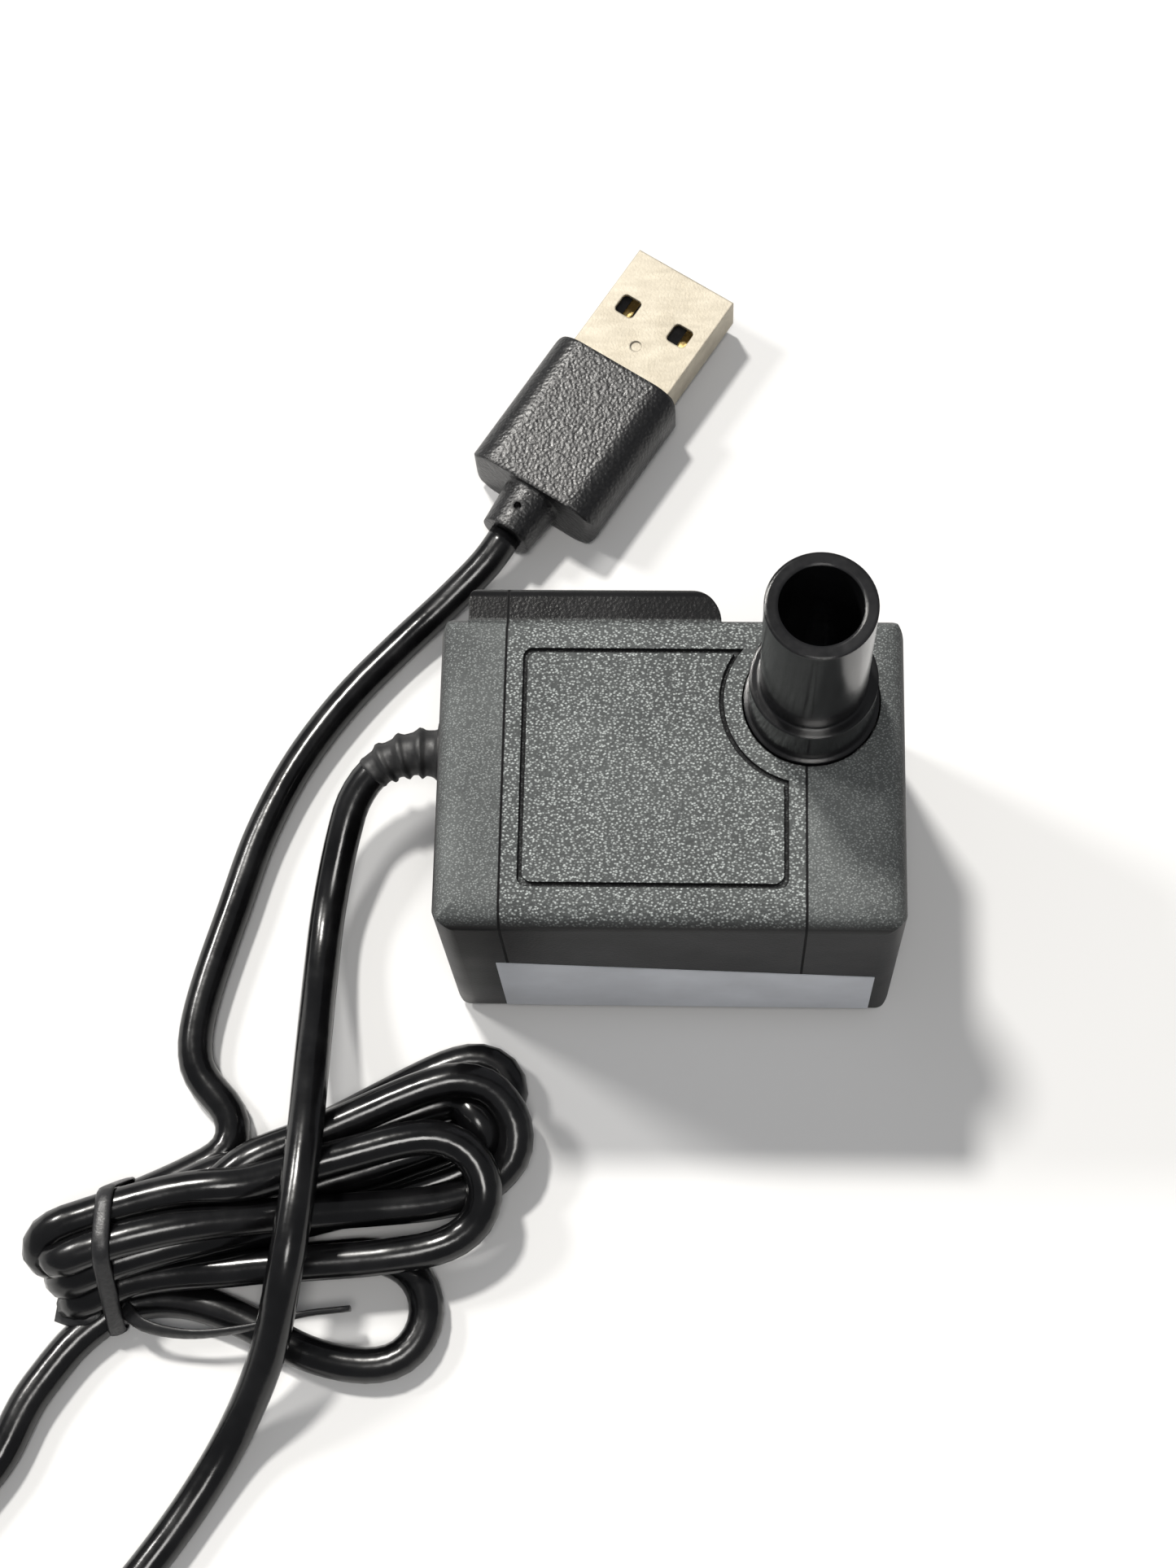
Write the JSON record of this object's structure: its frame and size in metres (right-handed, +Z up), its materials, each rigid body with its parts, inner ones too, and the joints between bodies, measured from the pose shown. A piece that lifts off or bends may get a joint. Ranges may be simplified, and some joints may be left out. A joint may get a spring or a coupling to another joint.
{
  "type": "submersible pump",
  "caption": "Compact submersible fountain pump: rounded box housing, upright outlet tube, slotted intake cover, and a tied cord ending in a USB plug.",
  "frame": {"origin": "middle of the base of the housing and label, on the standing surface, without the cord and plug", "axes": "+X towards the slotted intake end, +Y towards the coil bulge on the far side, +Z up along the outlet tube"},
  "size_m": [0.0932, 0.1488, 0.055],
  "materials": {
    "housing_abs": "fine spark eroded grain",
    "casing_abs": "smooth gloss",
    "rubber_black": "satin",
    "shaft": "polished",
    "washer": "satin",
    "magnet": "matt sintered",
    "rotor_plastic": "satin",
    "core_steel": "laminated",
    "bobbin": "satin",
    "copper": "enamelled wire",
    "board": "solder mask",
    "board_parts": "satin",
    "resin": "cast",
    "label": "satin paper film",
    "cord_pvc": "gloss",
    "tie": "satin",
    "overmold_pvc": "fine leather grain",
    "plug_nickel": "matt nickel",
    "plug_insulator": "satin",
    "contact_gold": "plated"
  },
  "bodies": {
    "pump_body": {"main_housing": "housing_abs", "rear_cover": "housing_abs", "chamber_seal": "rubber_black", "rear_bush": "rubber_black", "stator_core": "core_steel", "coil_bobbin": "bobbin", "coil_winding": "copper", "coil_leads": "copper", "circuit_board": "board", "board_parts": "board_parts", "potting": "resin", "data_label": "label", "cord_gland": "rubber_black", "cord_pump_side": "cord_pvc", "cord_hank": "cord_pvc", "cord_tie": "tie", "cord_plug_side": "cord_pvc", "plug_overmold": "overmold_pvc", "plug_shell": "plug_nickel", "plug_insulator": "plug_insulator", "plug_contacts": "contact_gold"},
    "intake_cover_body": {"intake_cover": "housing_abs"},
    "casing_body": {"volute_casing": "casing_abs", "front_bush": "rubber_black"},
    "shaft_body": {"rotor_shaft": "shaft", "thrust_washers": "washer"},
    "rotor_body": {"rotor_magnet": "magnet", "rotor_carrier": "rotor_plastic", "impeller": "rotor_plastic"}
  },
  "joints": [
    {"name": "cover_slide", "type": "slide", "parent": "pump_body", "child": "intake_cover_body", "axis": [1, 0, 0], "range_m": [0, 0.06]},
    {"name": "casing_slide", "type": "slide", "parent": "pump_body", "child": "casing_body", "axis": [1, 0, 0], "range_m": [0, 0.039]},
    {"name": "shaft_slide", "type": "slide", "parent": "pump_body", "child": "shaft_body", "axis": [1, 0, 0], "range_m": [0, 0.0222]},
    {"name": "rotor_spin", "type": "hinge", "parent": "shaft_body", "child": "rotor_body", "pos_m": [0, -0.00249, 0.016], "axis": [1, 0, 0], "continuous": true}
  ],
  "couplings": [
    {"joint": "casing_slide", "follows": "cover_slide", "ratio": 0.65},
    {"joint": "shaft_slide", "follows": "cover_slide", "ratio": 0.37}
  ]
}
